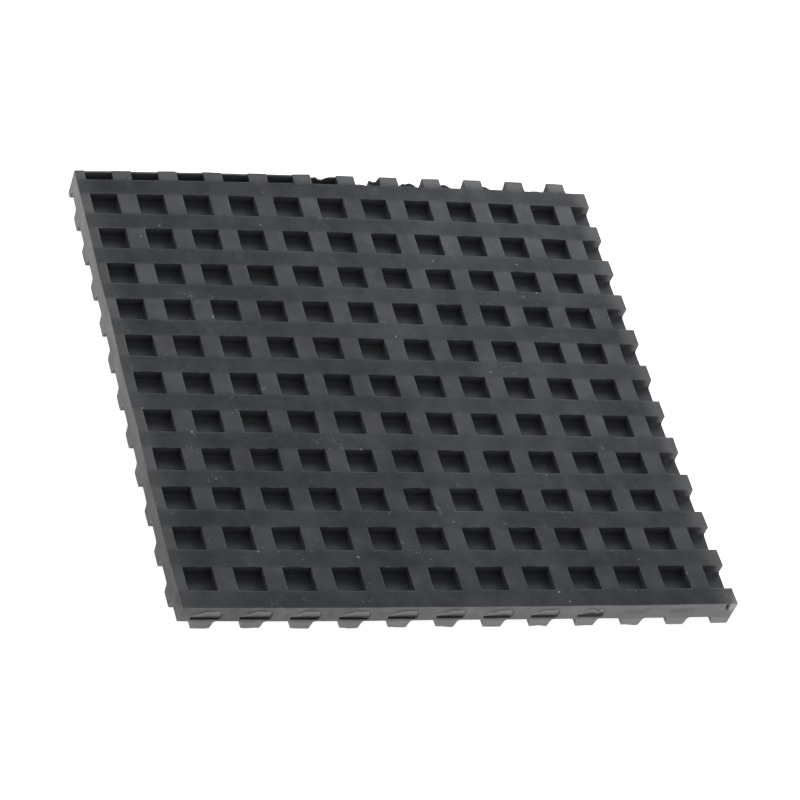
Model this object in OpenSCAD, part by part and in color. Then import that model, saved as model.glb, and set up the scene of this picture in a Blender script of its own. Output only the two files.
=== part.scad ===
// Anti vibration machine pad: one piece of moulded rubber, cut square from a larger sheet.
// A thin web carries a two-way grid of ribs on its top face and a second grid on its underside.
// The lower grid is shifted by half a pitch both ways, so each lower rib runs under a row of upper pockets.
// Millimetres. The origin is at the middle of the bottom face; X runs to the right, Y to the back and Z up.

/* [Sheet] */
// Width of the pad from the left cut to the right cut
pad_w = 150; // [60:1:300]
// Depth of the top face from the front cut to the back cut
pad_d = 150; // [60:1:300]
// Thickness over both rib grids
thick = 8.5; // [5:0.1:20]

/* [Rib grid] */
// Distance from the middle of one pocket to the middle of the next
pitch = 12.85; // [8:0.05:25]
// Depth of the pockets in the top face
top_depth = 3.0; // [1:0.1:8]
// Opening of a top pocket from left to right
top_open_x = 7.5; // [4:0.05:20]
// Opening of a top pocket from front to back
top_open_y = 7.35; // [4:0.05:20]
// Depth of the pockets in the underside
low_depth = 3.0; // [1:0.1:8]
// Opening of an underside pocket at the bottom face
low_open = 7.9; // [4:0.05:20]
// Width of an underside pocket where it meets the web
low_roof = 6.9; // [3:0.05:20]
// Slope that eases each rib into the web
root_ease = 0.7; // [0.1:0.05:1.5]

/* [Cut edges] */
// Distance from the left cut to the middle of the first column of pockets
first_x = 6.5; // [0:0.05:25]
// Distance from the front cut to the middle of the first whole row of pockets
first_y = 9.0; // [0:0.05:25]
// Thickness of the wall left standing along the back cut at the left
back_wall = 0.6; // [0.2:0.1:3]
// Share of the width, from the left, at which that wall ends
wall_share = 0.43; // [0.1:0.01:0.9]

/* [Colour] */
// Brightness of the black rubber
rubber_grey = 0.13; // [0.02:0.01:0.4]

/* [Hidden] */
// Web between the two sets of pockets
web = thick - top_depth - low_depth;
// Height of the web's upper face
floor_z = thick - top_depth;
left_x = -pad_w / 2;
right_x = pad_w / 2;
front_y = -pad_d / 2;
back_y = pad_d / 2;
// Middle of the first column and of the first whole row of top pockets
col_0 = left_x + first_x;
row_0 = front_y + first_y;
// The last column and row that the cut edges still open
last_col = floor((right_x + top_open_x / 2 - col_0) / pitch);
last_row = floor((back_y + top_open_y / 2 - row_0) / pitch);
// Length of the back wall from the left cut
wall_run = wall_share * pad_w;
// Overshoot of a pocket's cutting shape past the face that it opens
past = 1;
// Length of a cutting shape, past both cut edges
reach = 2 * max(pad_w, pad_d);

// Section of a top pocket, with its mouth at height 0 and straight walls
module top_section(open) {
    polygon([
        [-open / 2, past],
        [-open / 2, -top_depth + root_ease],
        [-open / 2 + root_ease, -top_depth],
        [open / 2 - root_ease, -top_depth],
        [open / 2, -top_depth + root_ease],
        [open / 2, past]
    ]);
}

// Section of an underside pocket, with its mouth at height 0, narrowing upwards
module low_section() {
    slope = (low_open - low_roof) / 2 / low_depth;
    ease = low_roof / 2 + slope * root_ease;
    polygon([
        [-low_open / 2 - slope * past, -past],
        [low_open / 2 + slope * past, -past],
        [ease, low_depth - root_ease],
        [low_roof / 2 - root_ease, low_depth],
        [-low_roof / 2 + root_ease, low_depth],
        [-ease, low_depth - root_ease]
    ]);
}

// A channel along Y whose section stands in the XZ plane
module along_y() {
    rotate([90, 0, 0]) linear_extrude(height = reach, center = true) children();
}

// A channel along X whose section stands in the YZ plane
module along_x() {
    rotate([90, 0, 90]) linear_extrude(height = reach, center = true) children();
}

// All the pockets of the top face: where the two sets of channels cross
module top_pockets() {
    intersection() {
        for (i = [0 : last_col])
            translate([col_0 + i * pitch, 0, thick]) along_y() top_section(top_open_x);
        for (j = [0 : last_row])
            translate([0, row_0 + j * pitch, thick]) along_x() top_section(top_open_y);
    }
}

// All the pockets of the underside, half a pitch off the upper ones
module low_pockets() {
    intersection() {
        for (i = [-1 : last_col - 1])
            translate([col_0 + (i + 0.5) * pitch, 0, 0]) along_y() low_section();
        for (j = [-1 : last_row - 1])
            translate([0, row_0 + (j + 0.5) * pitch, 0]) along_x() low_section();
    }
}

// The strip along the left of the back cut that the last pockets stop short of, so that a thin wall stands there
module back_strip() {
    translate([left_x - past, back_y - back_wall, 0]) cube([wall_run + past, reach, thick + 2 * past]);
}

// The sheet as cut, before the pockets
module blank() {
    translate([left_x, front_y, 0]) cube([pad_w, pad_d, thick]);
}

module pad() {
    color([rubber_grey, rubber_grey, rubber_grey * 1.04])
        difference() {
            blank();
            difference() {
                top_pockets();
                back_strip();
            }
            low_pockets();
        }
}

pad();
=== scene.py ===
import math

import bmesh
import bpy
import numpy as np
from mathutils import Matrix, Vector
from mathutils.geometry import delaunay_2d_cdt


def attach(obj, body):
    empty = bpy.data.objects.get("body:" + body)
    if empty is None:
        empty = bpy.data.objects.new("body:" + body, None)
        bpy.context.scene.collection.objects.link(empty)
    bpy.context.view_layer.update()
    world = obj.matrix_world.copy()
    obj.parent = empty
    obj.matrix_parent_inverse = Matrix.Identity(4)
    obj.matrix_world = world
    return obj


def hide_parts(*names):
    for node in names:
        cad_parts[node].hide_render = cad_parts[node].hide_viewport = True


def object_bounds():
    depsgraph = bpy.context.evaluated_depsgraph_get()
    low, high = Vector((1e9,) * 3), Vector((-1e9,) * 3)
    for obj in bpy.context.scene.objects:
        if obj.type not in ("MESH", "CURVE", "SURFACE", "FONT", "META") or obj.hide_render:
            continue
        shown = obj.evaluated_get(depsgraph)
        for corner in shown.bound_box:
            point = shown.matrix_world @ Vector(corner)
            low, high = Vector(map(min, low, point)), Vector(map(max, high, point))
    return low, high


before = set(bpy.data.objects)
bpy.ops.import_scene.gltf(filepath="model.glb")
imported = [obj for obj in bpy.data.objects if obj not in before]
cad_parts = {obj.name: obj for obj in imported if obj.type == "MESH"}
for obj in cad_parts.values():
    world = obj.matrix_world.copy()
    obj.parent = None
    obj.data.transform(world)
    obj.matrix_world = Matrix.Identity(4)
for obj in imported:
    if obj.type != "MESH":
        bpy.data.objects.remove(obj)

cad_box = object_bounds()
cad_box = [list(cad_box[0]), list(cad_box[1])]

# ---------------------------------------------------------------- sizes, mm
P = 12.85                                  # rib pitch
T, TOP_D, LOW_D = 8.5, 3.0, 3.0            # thickness, upper and lower pocket depth
FLOOR_Z = T - TOP_D
WX, WY = 7.5, 7.35                         # upper pocket opening
LOW_OPEN, LOW_ROOF = 7.9, 6.9              # lower pocket at its mouth and at the web
XL, XR = -75.0, 75.0                       # left and right cut
YF, YB = -75.0, 75.0                       # front and back cut
WALL = 0.55                                # wall left along the back cut, left half
COL0, ROW0 = XL + 6.5, YF + 9.0            # middle of the first pocket

# ---------------------------------------------------------------- repeatable noise
_rng = np.random.default_rng(20)
_perm = _rng.permutation(512)
_val = _rng.uniform(-1.0, 1.0, 512)


def vnoise(x, y, z=0.0):
    """Smooth value noise, one cell per unit, from -1 to 1."""
    x, y, z = np.broadcast_arrays(np.asarray(x, float), np.asarray(y, float), np.asarray(z, float))
    i, j, k = (np.floor(a).astype(int) for a in (x, y, z))
    u, v, w = (a - np.floor(a) for a in (x, y, z))
    u, v, w = (a * a * a * (a * (a * 6 - 15) + 10) for a in (u, v, w))

    def at(a, b, c):
        return _val[(_perm[(_perm[(i + a) % 512] + j + b) % 512] + k + c) % 512]

    def mix(a, b, t):
        return a + (b - a) * t

    low = mix(mix(at(0, 0, 0), at(1, 0, 0), u), mix(at(0, 1, 0), at(1, 1, 0), u), v)
    high = mix(mix(at(0, 0, 1), at(1, 0, 1), u), mix(at(0, 1, 1), at(1, 1, 1), u), v)
    return mix(low, high, w)


def smooth(a, b, x):
    t = np.clip((np.asarray(x, float) - a) / (b - a), 0.0, 1.0)
    return t * t * (3 - 2 * t)


# ---------------------------------------------------------------- the two moulded faces
def ring(cx, cy, hx0, hx1, hy0, hy1, m):
    """4m points round a rectangle that reaches hx0 left, hx1 right, hy0 front and hy1 back of its middle."""
    t = np.arange(m) / m
    x0, x1, y0, y1 = cx - hx0, cx + hx1, cy - hy0, cy + hy1
    return np.concatenate([
        np.stack([x0 + (x1 - x0) * t, np.full(m, y0)], 1),
        np.stack([np.full(m, x1), y0 + (y1 - y0) * t], 1),
        np.stack([x1 + (x0 - x1) * t, np.full(m, y1)], 1),
        np.stack([np.full(m, x0), y1 + (y0 - y1) * t], 1),
    ])


class Sheet:
    def __init__(self):
        self.v, self.f, self.edge_glint = [], [], []

    def cell(self, bx, by, cx, cy, rings, m):
        """One pocket in its cell: the land, the rounded mouth, the walls, the eased root and the floor."""
        n = 4 * m
        loops = [(ring(cx, cy, cx - bx[0], bx[1] - cx, cy - by[0], by[1] - cy, m), rings[0][2], 0.0)]
        for hx, hy, z, edge_glint in rings:
            loops.append((ring(cx, cy, hx, hx, hy, hy, m), z, edge_glint))
        base = len(self.v)
        for pts, z, edge_glint in loops:
            self.v += [(p[0], p[1], z) for p in pts]
            self.edge_glint += [edge_glint] * n
        for r in range(len(loops) - 1):
            a, b = base + r * n, base + (r + 1) * n
            for k in range(n):
                q = (k + 1) % n
                self.f.append((a + k, a + q, b + q, b + k))
        hx, hy, z, _ = rings[-1]
        g = len(self.v)
        t = np.linspace(-1, 1, m + 1)
        for v in t:
            for u in t:
                self.v.append((cx + u * hx, cy + v * hy, z))
                self.edge_glint.append(0.0)
        for v in range(m):
            for u in range(m):
                a = g + v * (m + 1) + u
                self.f.append((a, a + 1, a + m + 2, a + m + 1))


def top_rings():
    e, r, draft = 0.2, 0.55, 0.10
    out = []

    def add(off, z, edge_glint):
        out.append((WX / 2 + off, WY / 2 + off, z, edge_glint))

    add(0.75, T, 0.0)
    add(e + 0.12, T, 0.0)
    add(e, T, 0.7)
    add(e * 0.29, T - e * 0.29, 1.0)
    add(0.0, T - e, 0.35)
    add(-0.01, T - 0.42, 0.0)
    add(-draft, FLOOR_Z + r, 0.0)
    for a in (22.5, 45, 67.5, 90):
        a = math.radians(a)
        add(-draft - r + r * math.cos(a), FLOOR_Z + r - r * math.sin(a), 0.0)
    return out


def low_rings():
    e, r = 0.25, 0.8
    slope = (LOW_OPEN - LOW_ROOF) / 2 / LOW_D
    out = []

    def add(half, z, edge_glint):
        out.append((half, half, z, edge_glint))

    add(LOW_OPEN / 2 + e, 0.0, 0.3)
    add(LOW_OPEN / 2 + e * 0.29, e * 0.29, 1.0)
    add(LOW_OPEN / 2 - slope * e, e, 0.3)
    foot = LOW_OPEN / 2 - slope * (LOW_D - r)
    add(foot, LOW_D - r, 0.0)
    for a in (30, 60, 90):
        a = math.radians(a)
        add(foot - r + r * math.cos(a), LOW_D - r + r * math.sin(a), 0.0)
    return out


top, low = Sheet(), Sheet()
RINGS = top_rings()
for i in range(12):
    for j in range(12):
        cx, cy = COL0 + i * P, ROW0 + j * P
        bx = (XL if i == 0 else cx - P / 2, cx + P / 2)
        by = (YF if j == 0 else cy - P / 2, cy + P / 2)
        top.cell(bx, by, cx, cy, RINGS, 6)
RINGS = low_rings()
for i in range(-1, 11):
    for j in range(-1, 11):
        cx, cy = COL0 + (i + 0.5) * P, ROW0 + (j + 0.5) * P
        bx = (cx - P / 2, XR if i == 10 else cx + P / 2)
        by = (cy - P / 2, YB if j == 10 else cy + P / 2)
        low.cell(bx, by, cx, cy, RINGS, 4)


def sheet_mesh(sheet, cuts, scores=()):
    """The face as a bmesh, welded, scored along some planes and trimmed by the given cuts."""
    b = bmesh.new()
    layer = b.verts.layers.float.new("edge_glint")
    verts = []
    for co, edge_glint in zip(sheet.v, sheet.edge_glint):
        v = b.verts.new(co)
        v[layer] = edge_glint
        verts.append(v)
    for f in sheet.f:
        b.faces.new([verts[k] for k in f])
    bmesh.ops.remove_doubles(b, verts=b.verts, dist=1e-4)
    for co, no in scores:
        geom = list(b.verts) + list(b.edges) + list(b.faces)
        bmesh.ops.bisect_plane(b, geom=geom, dist=1e-5, plane_co=co, plane_no=no)
    for co, no in cuts:
        geom = list(b.verts) + list(b.edges) + list(b.faces)
        bmesh.ops.bisect_plane(b, geom=geom, dist=1e-5, plane_co=co, plane_no=no, clear_outer=True)
    return b


top_bm = sheet_mesh(top, [((XR, 0, 0), (1, 0, 0)), ((0, YB, 0), (0, 1, 0))],
                    [((0, YB - WALL - 0.07, 0), (0, 1, 0)), ((0, YB - WALL, 0), (0, 1, 0))])
low_bm = sheet_mesh(low, [((XL, 0, 0), (-1, 0, 0)), ((0, YF, 0), (0, -1, 0))])


def raw(b):
    b.verts.ensure_lookup_table()
    b.verts.index_update()
    layer = b.verts.layers.float["edge_glint"]
    co = np.array([v.co[:] for v in b.verts])
    edge_glint = np.array([v[layer] for v in b.verts])
    faces = [[v.index for v in f.verts] for f in b.faces]
    rim = {}
    for e in b.edges:
        if len(e.link_faces) == 1:
            p, q = e.verts[0].index, e.verts[1].index
            rim.setdefault(p, []).append(q)
            rim.setdefault(q, []).append(p)
    return co, edge_glint, faces, rim


tco, tglint, tfaces, trim = raw(top_bm)
lco, lglint, lfaces, lrim = raw(low_bm)
top_bm.free()
low_bm.free()


def walk(co, rim, axis, value, along):
    """The open edge that lies in one cut, in order from its low end to its high end."""
    on = {k for k in rim if abs(co[k][axis] - value) < 1e-4}
    ends = [k for k in on if sum(q in on for q in rim[k]) == 1]
    start = min(ends, key=lambda k: co[k][along])
    line, before = [start], None
    while True:
        nxt = [q for q in rim[line[-1]] if q in on and q != before]
        if not nxt:
            return line
        before = line[-1]
        line.append(nxt[0])


# ---------------------------------------------------------------- the cut faces
LIPS = [1.0, 1.0, 1.05, 1.0, 0.95, 0.9, 0.85, 0.8, 0.7, 0.0, 0.0]


def tongue(k, size, x):
    """One tongue along the front cut: where it is, how far it stands out, and the heights of its crest and its upper end."""
    reach = 3.8 - 0.9 * (1 - size) + 0.12 * math.sin(k * 2.3)
    t = (x - COL0 - k * P - 0.2 + reach) / (2 * reach)
    inside = smooth(-0.01, 0.05, t) * (1 - smooth(0.975, 1.02, t))
    grow = np.clip(t / 0.5, 0, 1) ** 0.8
    rag = 0.05 if k < 8 else 0.3
    grow = grow * (1 + rag * vnoise(x / 0.9, 4.0, 7.0 + k))
    crest = 4.7 + 1.05 * grow + 0.06 * math.sin(k * 1.7)
    return t, inside, size * grow * inside, crest, 4.8 + (1.5 + 0.6 * size) * grow


def front_relief(x, z):
    """How far the front cut stands out of its plane: the tongues that the blade left along the pockets, and a wavy cut."""
    out = 0.07 * vnoise(x / 7.0, z / 3.0, 3.1) + 0.03 * vnoise(x / 1.6, z / 1.2, 9.4)
    for k, size in enumerate(LIPS):
        if size > 0:
            t, inside, stand, crest, end = tongue(k, size, x)
            up = np.clip((z - crest) / np.maximum(end - crest, 0.1), 0, 1)
            bulge = np.where(z >= crest, (1 - up) ** 1.6, 1 - smooth(0.0, 0.18, crest - z))
            under = smooth(0.05, 0.3, crest - z) * (1 - smooth(4.3, 3.6, z)) * inside
            above = smooth(0.0, 0.2, z - end) * (1 - smooth(0.3, 0.6, z - end)) * inside * smooth(0.1, 0.3, t)
            out = out + 0.95 * stand * bulge - 0.5 * size * under - 0.2 * above
        else:
            t = (x - COL0 - k * P + 4.0) / 8.0
            inside = smooth(0.0, 0.1, t) * (1 - smooth(0.9, 1.0, t))
            out = out - 0.22 * inside * smooth(5.0, 5.5, z) * (1 - smooth(7.0, 7.6, z))
    nick = np.exp(-((x - 72.5 - 0.22 * (8.5 - z)) / 0.34) ** 2) * smooth(5.4, 6.6, z)
    return out - 0.95 * nick


def front_shade(x, z):
    """Above 0 painted shade: in the hollows round each tongue and at its blunt end, in the faint hollows of the last
    two pockets, in the nick, and lightly over the rest of the face. Below 0 painted light: a highlight on top of each
    tongue and on the lower ribs; also a paler chip beside the nick.
    """
    out = np.zeros_like(x)
    for k, size in enumerate(LIPS):
        if size > 0:
            t, inside, stand, crest, end = tongue(k, size, x)
            below = smooth(0.02, 0.15, crest - z) * smooth(3.45, 3.75, z) * inside * size ** 0.5
            above = smooth(0.0, 0.1, z - end) * (1 - smooth(0.15, 0.4, z - end)) * inside * smooth(0.12, 0.3, t) * (1 - smooth(0.7, 0.9, t))
            blunt = smooth(0.975, 0.995, t) * (1 - smooth(1.03, 1.06, t)) * smooth(3.7, 4.1, z) * (1 - smooth(6.0, 6.5, z))
            up = (z - crest) / np.maximum(end - crest, 0.1)
            pale = inside * (1 - smooth(1.0, 1.08, up)) * smooth(0.15, 0.4, up) * (1 - smooth(0.93, 0.98, t))
            under = inside * (1 - smooth(0.0, 0.3, up)) * smooth(-0.05, 0.02, up) * size ** 0.5
            dark = np.maximum(np.maximum(below, 0.5 * above), np.maximum(0.8 * blunt, 0.75 * under))
            out = np.where(dark > 0.02, np.maximum(out, dark), out) - 0.55 * pale * (dark < 0.2)
        else:
            t = (x - COL0 - k * P + 4.0) / 8.0
            inside = smooth(0.0, 0.1, t) * (1 - smooth(0.9, 1.0, t))
            faint = 0.22 * (1 + 0.6 * vnoise(x / 1.3, z / 0.8, 3.0)) * inside * smooth(5.0, 5.9, z) * (1 - smooth(6.2, 7.2, z))
            out = np.where(faint > 0.01, np.maximum(out, faint), out)
    nick = np.exp(-((x - 72.5 - 0.22 * (8.5 - z)) / 0.36) ** 2) * smooth(5.3, 6.4, z)
    out = np.where(np.abs(out) < 0.005, 0.08 + 0.04 * vnoise(x / 3.5, z / 2.0, 41.0), out) * (z >= 3.0)
    out = out - 0.24 * (z < 3.0)
    chip = smooth(73.1, 73.6, x) * smooth(4.6, 5.6, z)
    out = out - 0.45 * chip * (nick < 0.3)
    return np.where(nick > 0.05, np.maximum(out, nick), out)


def no_shade(s, z):
    return np.zeros_like(s)


# painted shade: the left cut is painted darker towards its front end
def left_shade(s, z):
    return 0.05 + 0.22 * (1 - smooth(-50.0, 10.0, s)) + 0.05 * vnoise(s / 4.0, z / 2.5, 27.0)


def plain_relief(seed):
    def relief(s, z):
        return 0.12 * vnoise(s / 6.0, z / 3.0, seed) + 0.07 * vnoise(s / 1.7, z / 1.3, seed + 5) + 0.03 * vnoise(s / 0.7, z / 0.7, seed + 9)
    return relief


def grid_front():
    zs = [8.25, 8.0, 7.75, 7.5] + list(np.arange(7.3, 3.3, -0.15)) + [3.0, 2.5, 2.0, 1.5, 1.0, 0.5]
    return [(x, z) for z in zs for x in np.arange(XL + 0.3, XR - 0.2, 0.3)]


def grid_plain(a, b, top_z):
    return [(s, z) for z in np.arange(0.45, top_z, 0.55) for s in np.arange(a + 0.5, b - 0.3, 0.6)]


verts = np.concatenate([tco, lco])
edge_glint = np.concatenate([tglint, lglint])
NT = len(tco)
faces = [(f, 0) for f in tfaces] + [([k + NT for k in f[::-1]], 0) for f in lfaces]
extra, extra_glint, extra_shade = [], [], []


def cut_face(axis, value, along, sign, grid, relief, shade=no_shade):
    """Fills one cut between the upper and the lower face with a fine net of triangles."""
    a = walk(tco, trim, axis, value, along)
    b = [k + NT for k in walk(lco, lrim, axis, value, along)]
    loop = a + b[::-1]
    pts = [(verts[k][along], verts[k][2]) for k in loop]
    poly = np.array(pts)
    nxt = np.roll(poly, -1, axis=0)
    seg = nxt - poly
    keep = []
    for g in grid:
        d = np.array(g) - poly
        t = np.clip((d * seg).sum(1) / np.maximum((seg ** 2).sum(1), 1e-12), 0, 1)
        near = np.sqrt(((d - seg * t[:, None]) ** 2).sum(1)).min()
        if near < 0.13:
            continue
        cross = (poly[:, 1] > g[1]) != (nxt[:, 1] > g[1])
        xs = poly[:, 0] + seg[:, 0] * (g[1] - poly[:, 1]) / np.where(seg[:, 1] == 0, 1e-12, seg[:, 1])
        if np.count_nonzero(cross & (g[0] < xs)) % 2:
            keep.append(g)
    n = len(pts)
    edges = [(k, (k + 1) % n) for k in range(n)]
    out = delaunay_2d_cdt([Vector(p) for p in pts + keep], edges, [], 1, 1e-6)
    index = []
    ks, kz = np.array([k[0] for k in keep]), np.array([k[1] for k in keep])
    off, dark = relief(ks, kz), shade(ks, kz)
    for co, orig in zip(out[0], out[3]):
        first = min(orig)
        if first < n:
            index.append(loop[first])
            continue
        p = [0.0, 0.0, co[1]]
        p[axis] = value + sign * off[first - n]
        p[along] = co[0]
        index.append(len(verts) + len(extra))
        extra.append(p)
        extra_glint.append(0.0)
        extra_shade.append(dark[first - n])
    for f in out[2]:
        faces.append(([index[k] for k in f], 1))


cut_face(1, YF, 0, -1, grid_front(), front_relief, front_shade)
cut_face(0, XL, 1, -1, grid_plain(YF, YB, T), plain_relief(21.0), left_shade)
cut_face(0, XR, 1, 1, grid_plain(YF, YB, T), plain_relief(33.0))
cut_face(1, YB, 0, 1, grid_plain(XL, XR, T), plain_relief(47.0))

co = np.concatenate([verts, np.array(extra)])
edge_glint = np.concatenate([edge_glint, np.array(extra_glint)])
flat_z = co[:, 2].copy()
shade = np.concatenate([np.zeros(len(verts)), np.array(extra_shade)])

# ---------------------------------------------------------------- the hand-cut outline and the give of the rubber
x, y, z = co[:, 0].copy(), co[:, 1].copy(), co[:, 2].copy()
low_share = 1 - smooth(FLOOR_Z - 0.2, T - 0.1, z)
col = (x - COL0) / P + 1
# the wall along the back cut: whole at the left, torn at the middle, gone at the right
gone = -0.75 + 0.55 * np.maximum(0, vnoise(x / 2.6, 11.0)) + 0.5 * np.maximum(0, vnoise(x / 0.9, 14.0))
crumb = np.zeros_like(x)
for a, c, h in ((7.08, 7.33, 2.0), (7.82, 8.24, 1.15), (8.74, 9.04, 1.3), (9.76, 10.02, 1.2)):
    crumb = np.maximum(crumb, h * smooth(a, a + 0.07, col) * (1 - smooth(c - 0.07, c, col)))
gone = gone + crumb * (1 + 0.25 * vnoise(x / 0.8, 21.0))
rest = smooth(6.42, 6.55, col)
lip = gone * rest
near_back = smooth(YB - 2.6, YB, y)
# painted shade: the pocket floors and walls along the back cut, darkest on the crumbs
painted_back_shade = smooth(YB - 3.3, YB - 2.4, y) * (1 - smooth(8.32, 8.44, z)) * smooth(3.2, 3.6, z) * np.maximum(0.2 * (1 - rest), 0.7 * smooth(0.1, 0.8, crumb)) * (np.arange(len(z)) < NT)
shade = np.where(painted_back_shade > 0.01, np.maximum(shade, painted_back_shade), shade)
# painted light: the lower ribs near the front and left cuts, and the rib ends at the right cut, are painted paler, as
# lit from the pale floor
near_cut = np.maximum(1 - smooth(2.0, 9.0, x - XL), 1 - smooth(2.0, 9.0, y - YF))
shade = shade - 0.55 * near_cut * (z < 2.95) * (np.arange(len(z)) < len(verts))
# painted shade: the far part of each pocket floor is darkened, as shadowed by the back wall
off_row = (y - ROW0) / P - np.round((y - ROW0) / P)
off_col = (x - COL0) / P - np.round((x - COL0) / P)
painted_floor_shadow = 0.55 * smooth(-0.10, 0.17, off_row) * (0.75 + 0.25 * smooth(-0.2, 0.25, off_col))
floors = (z > 5.3) & (z < 6.2) & (np.arange(len(z)) < NT) & (x < 71)
shade = np.where(floors, np.maximum(shade, painted_floor_shadow), shade)
# painted light: the front walls and tops of the rib ends at the right cut are painted paler
wall = (off_row > 0.24) & (off_row < 0.31) & (z > 5.9)
shade = shade - 1.0 * smooth(72.4, 74.6, x) * wall
shade = shade - 0.42 * smooth(68.5, 74.5, x) * (z > 8.4)
shade = shade - 0.16 * (1 - smooth(0.5, 7.0, x - XL)) * (z > 8.4)
# painted sheen: the top is painted paler towards the back and the right, most on the rib stubs along the back cut
shade = shade - 0.46 * smooth(YB - 3.4, YB - 1.6, y) * (0.35 + 0.65 * smooth(-25.0, 25.0, x)) * (z > 8.4)
shade = shade - 0.045 * smooth(45.0, 70.0, y) * smooth(0.0, 55.0, x) * (z > 8.4)
top_sheet = np.arange(len(z)) < NT
sunk = top_sheet & (z < 8.43) & (col < 6.5)
torn = smooth(5.60, 5.70, col) * (0.4 + 0.9 * np.exp(-((col - 5.97) / 0.13) ** 2) + 0.3 * vnoise(x / 0.9, 5.0))
crown = 8.44 - 0.16 * smooth(XL, XL + 60.0, x) + 0.05 * vnoise(x / 3.0, 23.0) - np.clip(torn, 0.0, 2.2)
rim = sunk & (y > YB - WALL - 0.01)
foot = sunk & (y > YB - WALL - 0.08) & ~rim
stand = np.where(rim, crown - 0.02 * (T - z), np.where(foot, crown - 0.12 - 0.03 * (T - z), z))
flat_z = np.where(rim, T, flat_z)
# painted highlight along the wall's top edge, painted darker where the wall is torn; painted shade on the row just
# below the top
shade = np.where(rim, -0.26 + 0.55 * smooth(5.5, 5.7, col), np.where(foot, np.maximum(shade, 0.2), shade))
z = np.where(rim | foot, stand, z)
y += near_back * low_share * lip
# each cut wanders a little
fall = 3.5
edge_l = np.exp(-((x - XL) / fall) ** 2)
edge_r = np.exp(-((x - XR) / fall) ** 2)
edge_f = np.exp(-((co[:, 1] - YF) / fall) ** 2)
edge_b = np.exp(-((co[:, 1] - YB) / fall) ** 2)
x += edge_l * (0.16 * vnoise(co[:, 1] / 19.0, 3.0, z / 9.0))
x += edge_r * (0.22 * vnoise(co[:, 1] / 8.0, 7.0, z / 5.0) + 0.15)
y += edge_f * (0.10 * vnoise(co[:, 0] / 23.0, 13.0, z / 9.0))
y += edge_b * (0.22 * vnoise(co[:, 0] / 8.0, 17.0, z / 6.0) * (1 - low_share))
# moulded ribs are never quite straight, and their tops never quite level
x += 0.05 * vnoise(co[:, 0] / 9.0, co[:, 1] / 9.0, 1.0)
y += 0.05 * vnoise(co[:, 0] / 9.0, co[:, 1] / 9.0, 5.0)
level = smooth(6.5, 8.4, z)
z -= level * (0.03 + 0.03 * vnoise(co[:, 0] / 15.0, co[:, 1] / 15.0, 9.0))
low_level = 1 - smooth(0.1, 1.5, z)
z += edge_f * low_level * (0.12 + 0.22 * vnoise(co[:, 0] / 2.7, 31.0))
z += low_level * (0.03 + 0.03 * vnoise(co[:, 0] / 12.0, co[:, 1] / 12.0, 15.0))
# the sheet has taken a slight set: it isn't quite flat
BEND = {(2, 0): -0.01135, (1, 1): 0.06791, (0, 2): 0.05616, (3, 0): -0.00045, (2, 1): -0.03538, (1, 2): 0.01688, (0, 3): -0.01449}
bx, by = (x - COL0 - 5 * P) / (5 * P), (y - ROW0 - 5 * P) / (5 * P)
z = z + P * sum(k * bx ** i * by ** j for (i, j), k in BEND.items())
LIFT = -float(z.min())
z = z + LIFT
co = np.stack([x, y, z], 1) * 0.001

# ---------------------------------------------------------------- the piece
mesh = bpy.data.meshes.new("rubber_pad")
mesh.from_pydata([tuple(p) for p in co], [], [f for f, _ in faces])
mesh.polygons.foreach_set("material_index", [m for _, m in faces])
attr = mesh.attributes.new("edge_glint", "FLOAT", "POINT")
attr.data.foreach_set("value", edge_glint.astype(np.float32))
attr = mesh.attributes.new("level", "FLOAT", "POINT")
attr.data.foreach_set("value", (flat_z / T).astype(np.float32))
attr = mesh.attributes.new("shade", "FLOAT", "POINT")
attr.data.foreach_set("value", shade.astype(np.float32))
b = bmesh.new()
b.from_mesh(mesh)
bmesh.ops.recalc_face_normals(b, faces=b.faces)
b.to_mesh(mesh)
open_edges = sum(1 for e in b.edges if len(e.link_faces) != 2)
triangles = sum(len(f.verts) - 2 for f in b.faces)
print("pad: open edges", open_edges, "triangles", triangles)
b.free()
mesh.update()
mesh.polygons.foreach_set("use_smooth", [True] * len(mesh.polygons))
mesh.set_sharp_from_angle(angle=math.radians(38))
pad = bpy.data.objects.new("rubber_pad", mesh)
bpy.context.scene.collection.objects.link(pad)


# ---------------------------------------------------------------- materials
def material(name):
    m = bpy.data.materials.new(name)
    m.use_nodes = True
    t = m.node_tree
    return m, t, t.nodes["Principled BSDF"]


def node(t, kind, **values):
    n = t.nodes.new(kind)
    for k, v in values.items():
        setattr(n, k, v)
    return n


def noise_node(t, where, scale, detail=3.0, rough=0.5):
    n = node(t, "ShaderNodeTexNoise")
    n.inputs["Scale"].default_value = scale
    n.inputs["Detail"].default_value = detail
    n.inputs["Roughness"].default_value = rough
    t.links.new(where, n.inputs["Vector"])
    return n.outputs["Fac"]


def ramp(t, value, stops):
    r = node(t, "ShaderNodeValToRGB")
    e = r.color_ramp.elements
    while len(e) < len(stops):
        e.new(0.5)
    for el, (at, c) in zip(e, stops):
        el.position = at
        el.color = (c, c, c, 1) if isinstance(c, float) else (*c, 1)
    t.links.new(value, r.inputs["Fac"])
    return r.outputs["Color"]


def math_node(t, op, a, b=None, c=None, clamp=False):
    n = node(t, "ShaderNodeMath", operation=op, use_clamp=clamp)
    for k, v in enumerate((a, b, c)):
        if v is None:
            continue
        if isinstance(v, (int, float)):
            n.inputs[k].default_value = v
        else:
            t.links.new(v, n.inputs[k])
    return n.outputs[0]


def mix_colour(t, fac, a, b, blend="MIX"):
    n = node(t, "ShaderNodeMix", data_type="RGBA", blend_type=blend)
    for key, v in ((0, fac), (6, a), (7, b)):
        if isinstance(v, (int, float)):
            n.inputs[key].default_value = v
        elif isinstance(v, tuple):
            n.inputs[key].default_value = (*v, 1)
        else:
            t.links.new(v, n.inputs[key])
    return n.outputs[2]


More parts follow.
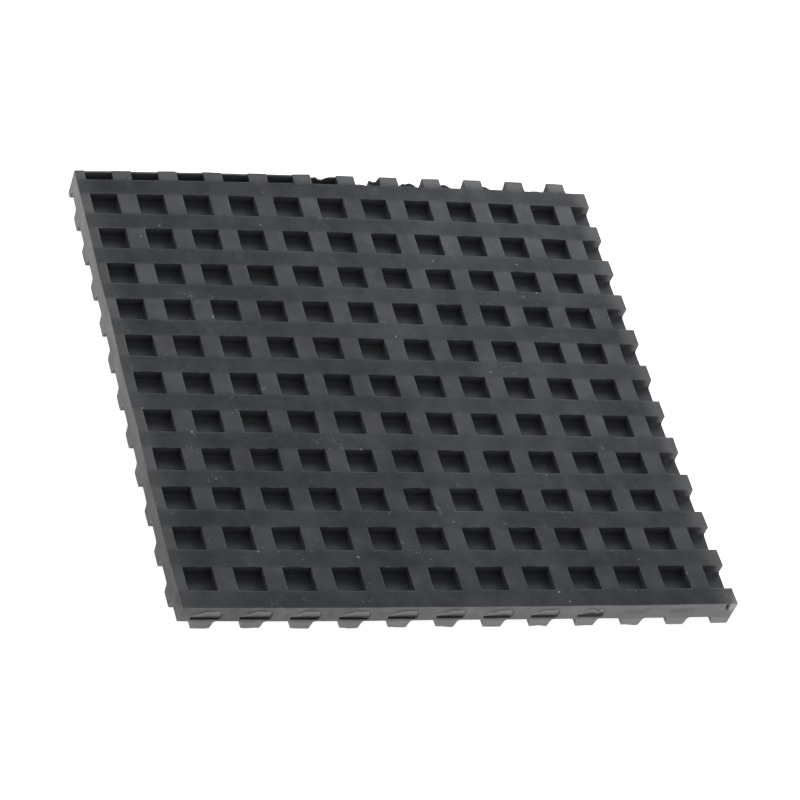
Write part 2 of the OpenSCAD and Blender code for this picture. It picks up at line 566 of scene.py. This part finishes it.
def band(t, coord, start, half, soft):
    """1 within half of each pocket middle along one axis, falling to 0 over soft. In metres."""
    a = math_node(t, "ADD", coord, -start + 0.5 * P * 0.001)
    a = math_node(t, "FLOORED_MODULO", a, P * 0.001)
    a = math_node(t, "SUBTRACT", a, 0.5 * P * 0.001)
    a = math_node(t, "ABSOLUTE", a)
    n = node(t, "ShaderNodeMapRange", interpolation_type="SMOOTHSTEP")
    t.links.new(a, n.inputs["Value"])
    n.inputs["From Min"].default_value = half - soft
    n.inputs["From Max"].default_value = half + soft
    n.inputs["To Min"].default_value = 1.0
    n.inputs["To Max"].default_value = 0.0
    return n.outputs["Result"]


def moulded():
    m, t, p = material("moulded_rubber")
    where = node(t, "ShaderNodeTexCoord").outputs["Object"]
    xyz = node(t, "ShaderNodeSeparateXYZ")
    t.links.new(where, xyz.inputs[0])
    cloud = noise_node(t, where, 38.0, 4.0, 0.55)
    patch = noise_node(t, where, 150.0, 5.0, 0.6)
    grain = noise_node(t, where, 1900.0, 3.0, 0.6)
    base = mix_colour(t, ramp(t, cloud, [(0.32, 0.0), (0.68, 1.0)]), (0.0085, 0.0094, 0.0116), (0.0135, 0.0145, 0.0172))
    base = mix_colour(t, ramp(t, patch, [(0.45, 0.0), (0.75, 0.6)]), base, (0.0215, 0.0225, 0.0255))
    smudge = ramp(t, noise_node(t, where, 75.0, 6.0, 0.7), [(0.50, 0.0), (0.70, 0.75)])
    base = mix_colour(t, smudge, base, (0.033, 0.034, 0.037))
    # painted sheen: the short ribs between the pockets of a row are painted lighter than the long ones, more towards
    # the back and the sides
    row = band(t, xyz.outputs["Y"], ROW0 * 0.001, WY / 2 * 0.001, 0.0009)
    level = node(t, "ShaderNodeAttribute", attribute_name="level").outputs["Fac"]
    on_top = node(t, "ShaderNodeMapRange")
    t.links.new(level, on_top.inputs["Value"])
    on_top.inputs["From Min"].default_value = 0.955
    on_top.inputs["From Max"].default_value = 0.985
    on_top = on_top.outputs["Result"]
    uneven = ramp(t, noise_node(t, where, 60.0, 3.0, 0.5), [(0.3, 0.45), (0.7, 1.0)])
    sheen_towards_back = node(t, "ShaderNodeMapRange")
    t.links.new(xyz.outputs["Y"], sheen_towards_back.inputs["Value"])
    sheen_towards_back.inputs["From Min"].default_value = -0.075
    sheen_towards_back.inputs["From Max"].default_value = 0.075
    sheen_towards_back.inputs["To Min"].default_value = 0.2
    sheen_towards_back.inputs["To Max"].default_value = 0.75
    sheen_towards_sides = node(t, "ShaderNodeMapRange")
    t.links.new(math_node(t, "ABSOLUTE", xyz.outputs["X"]), sheen_towards_sides.inputs["Value"])
    sheen_towards_sides.inputs["From Min"].default_value = 0.02
    sheen_towards_sides.inputs["From Max"].default_value = 0.07
    sheen_towards_sides.inputs["To Min"].default_value = 0.0
    sheen_towards_sides.inputs["To Max"].default_value = 0.45
    sheen_towards_back = math_node(t, "ADD", sheen_towards_back.outputs["Result"], sheen_towards_sides.outputs["Result"])
    short_rib_sheen = math_node(t, "MULTIPLY", math_node(t, "MULTIPLY", row, on_top), math_node(t, "MULTIPLY", uneven, sheen_towards_back))
    base = mix_colour(t, short_rib_sheen, base, (0.074, 0.0746, 0.079))
    column = band(t, xyz.outputs["X"], (COL0 + P / 2) * 0.001, (P - WX) / 2 * 0.001, 0.0012)
    cross = math_node(t, "MULTIPLY", math_node(t, "MULTIPLY", column, on_top), ramp(t, cloud, [(0.4, 0.0), (0.65, 0.4)]))
    base = mix_colour(t, cross, base, (0.030, 0.0308, 0.034))
    # painted light: the pocket floors and walls are painted lighter than the tops
    sunk = ramp(t, level, [(0.65, 0.9), (0.74, 0.62), (0.955, 0.5), (0.975, 0.0)])
    base = mix_colour(t, sunk, base, (0.083, 0.0865, 0.097))
    # painted highlight along the rounded pocket mouths, broken up by noise
    edge = node(t, "ShaderNodeAttribute", attribute_name="edge_glint").outputs["Fac"]
    glint_patches = ramp(t, noise_node(t, where, 330.0, 5.0, 0.7), [(0.42, 0.05), (0.66, 1.0)])
    edge = math_node(t, "MULTIPLY", edge, glint_patches)
    base = mix_colour(t, math_node(t, "MULTIPLY", edge, 0.62), base, (0.13, 0.13, 0.136))
    # dust: fine specks, a few larger ones, and hairline scuffs
    for scale, size, low, high, colour in ((420.0, 0.11, 0.50, 0.60, 0.22), (210.0, 0.085, 0.55, 0.63, 0.42)):
        cells = node(t, "ShaderNodeTexVoronoi", feature="F1")
        cells.inputs["Scale"].default_value = scale
        t.links.new(where, cells.inputs["Vector"])
        speck = ramp(t, cells.outputs["Distance"], [(size * 0.4, 1.0), (size, 0.0)])
        few = ramp(t, noise_node(t, where, scale * 0.35, 2.0, 0.5), [(low, 0.0), (high, 1.0)])
        speck = math_node(t, "MULTIPLY", speck, few)
        base = mix_colour(t, math_node(t, "MULTIPLY", speck, 0.75), base, (colour, colour, colour))
    hair = math_node(t, "ABSOLUTE", math_node(t, "SUBTRACT", noise_node(t, where, 290.0, 1.0, 0.5), 0.5))
    hair = ramp(t, hair, [(0.004, 1.0), (0.012, 0.0)])
    here = ramp(t, noise_node(t, where, 150.0, 2.0, 0.5), [(0.585, 0.0), (0.66, 1.0)])
    hair = math_node(t, "MULTIPLY", math_node(t, "MULTIPLY", hair, here), on_top)
    base = mix_colour(t, math_node(t, "MULTIPLY", hair, 0.45), base, (0.15, 0.15, 0.155))
    # the shade attribute: above 0 painted shade, below 0 painted light and a few paler patches
    dark = node(t, "ShaderNodeAttribute", attribute_name="shade").outputs["Fac"]
    pale = math_node(t, "MULTIPLY", dark, -1.0, clamp=True)
    dark = math_node(t, "MULTIPLY", dark, 1.0, clamp=True)
    base = mix_colour(t, math_node(t, "MULTIPLY", dark, 0.9), base, (0.003, 0.003, 0.0035))
    base = mix_colour(t, pale, base, (0.19, 0.189, 0.19))
    t.links.new(base, p.inputs["Base Color"])
    rough = node(t, "ShaderNodeMapRange")
    t.links.new(patch, rough.inputs["Value"])
    rough.inputs["To Min"].default_value = 0.40
    rough.inputs["To Max"].default_value = 0.68
    t.links.new(rough.outputs["Result"], p.inputs["Roughness"])
    # the sheltered floors shine less than the rubbed tops
    shine = node(t, "ShaderNodeMapRange")
    t.links.new(level, shine.inputs["Value"])
    shine.inputs["From Min"].default_value = 0.62
    shine.inputs["From Max"].default_value = 0.98
    shine.inputs["To Min"].default_value = 0.05
    shine.inputs["To Max"].default_value = 0.215
    gloss = ramp(t, noise_node(t, where, 62.0, 6.0, 0.62), [(0.3, 0.62), (0.7, 1.0)])
    fine = ramp(t, noise_node(t, where, 250.0, 5.0, 0.62), [(0.34, 0.72), (0.66, 1.0)])
    gloss = math_node(t, "MULTIPLY", math_node(t, "MULTIPLY", gloss, fine), math_node(t, "MULTIPLY_ADD", dark, -0.7, 1.3))
    t.links.new(math_node(t, "MULTIPLY", shine.outputs["Result"], gloss), p.inputs["Specular IOR Level"])
    p.inputs["Specular Tint"].default_value = (0.83, 0.90, 1.0, 1)
    height = math_node(t, "MULTIPLY_ADD", patch, 0.6, math_node(t, "MULTIPLY", grain, 0.4))
    bump = node(t, "ShaderNodeBump")
    bump.inputs["Strength"].default_value = 0.4
    bump.inputs["Distance"].default_value = 0.00014
    t.links.new(height, bump.inputs["Height"])
    t.links.new(bump.outputs["Normal"], p.inputs["Normal"])
    return m


def cut():
    m, t, p = material("cut_rubber")
    where = node(t, "ShaderNodeTexCoord").outputs["Object"]
    xyz = node(t, "ShaderNodeSeparateXYZ")
    t.links.new(where, xyz.inputs[0])
    far = node(t, "ShaderNodeMapRange")
    t.links.new(math_node(t, "ADD", xyz.outputs["X"], xyz.outputs["Y"]), far.inputs["Value"])
    far.inputs["From Min"].default_value = -0.15
    far.inputs["From Max"].default_value = 0.0
    far.inputs["To Min"].default_value = 0.0
    far.inputs["To Max"].default_value = 0.5
    drawn = node(t, "ShaderNodeMapping")
    drawn.inputs["Scale"].default_value = (1.0, 1.0, 3.2)
    t.links.new(where, drawn.inputs["Vector"])
    streak = noise_node(t, drawn.outputs["Vector"], 240.0, 5.0, 0.6)
    cloud = noise_node(t, where, 70.0, 3.0, 0.5)
    grain = noise_node(t, where, 1500.0, 4.0, 0.65)
    base = mix_colour(t, ramp(t, cloud, [(0.35, 0.0), (0.68, 1.0)]), (0.090, 0.090, 0.0925), (0.134, 0.1332, 0.135))
    base = mix_colour(t, ramp(t, streak, [(0.50, 0.0), (0.78, 0.6)]), base, (0.17, 0.169, 0.17))
    spots = ramp(t, noise_node(t, where, 420.0, 4.0, 0.6), [(0.36, 0.5), (0.56, 0.0)])
    base = mix_colour(t, spots, base, (0.055, 0.0545, 0.056))
    stain = ramp(t, noise_node(t, where, 150.0, 5.0, 0.65), [(0.34, 0.6), (0.54, 0.0)])
    base = mix_colour(t, stain, base, (0.062, 0.061, 0.062))
    base = mix_colour(t, far.outputs["Result"], base, (0.24, 0.239, 0.241))
    # the shade attribute: above 0 painted shade, below 0 painted light and a paler chip
    dark = node(t, "ShaderNodeAttribute", attribute_name="shade").outputs["Fac"]
    pale = math_node(t, "MULTIPLY", dark, -1.0, clamp=True)
    dark = math_node(t, "MULTIPLY", dark, 1.0, clamp=True)
    base = mix_colour(t, math_node(t, "MULTIPLY", dark, 0.9), base, (0.005, 0.005, 0.0055))
    base = mix_colour(t, pale, base, (0.31, 0.309, 0.311))
    t.links.new(base, p.inputs["Base Color"])
    p.inputs["Roughness"].default_value = 0.72
    t.links.new(math_node(t, "MULTIPLY_ADD", dark, -0.25, 0.3), p.inputs["Specular IOR Level"])
    bump = node(t, "ShaderNodeBump")
    bump.inputs["Strength"].default_value = 0.6
    bump.inputs["Distance"].default_value = 0.00018
    t.links.new(math_node(t, "MULTIPLY_ADD", streak, 0.6, math_node(t, "MULTIPLY", grain, 0.4)), bump.inputs["Height"])
    t.links.new(bump.outputs["Normal"], p.inputs["Normal"])
    return m


def ground():
    m, t, p = material("pale_floor")
    where = node(t, "ShaderNodeTexCoord").outputs["Object"]
    cloud = noise_node(t, where, 3.0, 2.0, 0.5)
    base = mix_colour(t, cloud, (0.86, 0.86, 0.86), (0.89, 0.89, 0.89))
    t.links.new(base, p.inputs["Base Color"])
    p.inputs["Roughness"].default_value = 0.9
    p.inputs["Specular IOR Level"].default_value = 0.1
    p.inputs["Emission Color"].default_value = (1.0, 1.0, 1.0, 1)
    p.inputs["Emission Strength"].default_value = 0.82
    return m


pad.data.materials.append(moulded())
pad.data.materials.append(cut())
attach(pad, "root")
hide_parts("pad")

# ---------------------------------------------------------------- floor, light and camera
side = 6.0
floor_mesh = bpy.data.meshes.new("floor")
floor_mesh.from_pydata([(-side, -side, -0.00002), (side, -side, -0.00002), (side, side, -0.00002), (-side, side, -0.00002)], [], [(0, 1, 2, 3)])
floor = bpy.data.objects.new("floor", floor_mesh)
bpy.context.scene.collection.objects.link(floor)
floor.data.materials.append(ground())

world = bpy.data.worlds.new("studio")
bpy.context.scene.world = world
world.use_nodes = True
back = world.node_tree.nodes["Background"]
back.inputs["Color"].default_value = (1.0, 1.0, 1.0, 1)
where = world.node_tree.nodes.new("ShaderNodeTexCoord").outputs["Generated"]
split = world.node_tree.nodes.new("ShaderNodeSeparateXYZ")
world.node_tree.links.new(where, split.inputs[0])
rise = world.node_tree.nodes.new("ShaderNodeMapRange")
rise.interpolation_type = "SMOOTHSTEP"
world.node_tree.links.new(split.outputs["Z"], rise.inputs["Value"])
rise.inputs["From Min"].default_value = 0.12
rise.inputs["From Max"].default_value = 0.24
rise.inputs["To Min"].default_value = 1.0
rise.inputs["To Max"].default_value = 0.47
world.node_tree.links.new(rise.outputs["Result"], back.inputs["Strength"])


def softbox(name, at, target, size, power):
    d = bpy.data.lights.new(name, "AREA")
    d.shape, d.size, d.energy = "SQUARE", size, power
    o = bpy.data.objects.new(name, d)
    o.location = at
    o.rotation_mode = "QUATERNION"
    o.rotation_quaternion = (Vector(target) - Vector(at)).to_track_quat("-Z", "Y")
    bpy.context.scene.collection.objects.link(o)


softbox("left_box", (-0.60, 0.45, 0.20), (-0.06, 0.04, 0), 0.35, 0.95)
softbox("back_box", (0.29, 0.45, 0.33), (0.04, 0.04, 0), 0.36, 2.3)
softbox("front_box", (0.45, -1.4, 0.5), (0, 0, 0), 0.9, 1.5)

cam_data = bpy.data.cameras.new("camera")
cam = bpy.data.objects.new("camera", cam_data)
bpy.context.scene.collection.objects.link(cam)
bpy.context.scene.camera = cam
cam_data.sensor_width = 36.0
cam_data.lens = 2946.676 / 800.0 * 36.0
cam_data.clip_start, cam_data.clip_end = 0.05, 50.0
right = Vector((0.92853497, -0.23165571, 0.29010074))
up = Vector((-0.01302375, 0.76061959, 0.64906719))
ahead = Vector((0.37101643, 0.60645978, -0.70324487))
at = Vector((-22.062654 * P + COL0 + 5 * P, -36.828452 * P + ROW0 + 5 * P, 42.264817 * P + T + LIFT)) * 0.001
cam.matrix_world = Matrix((
    (right.x, up.x, -ahead.x, at.x),
    (right.y, up.y, -ahead.y, at.y),
    (right.z, up.z, -ahead.z, at.z),
    (0, 0, 0, 1),
))
bpy.context.scene.view_settings.view_transform = "Standard"
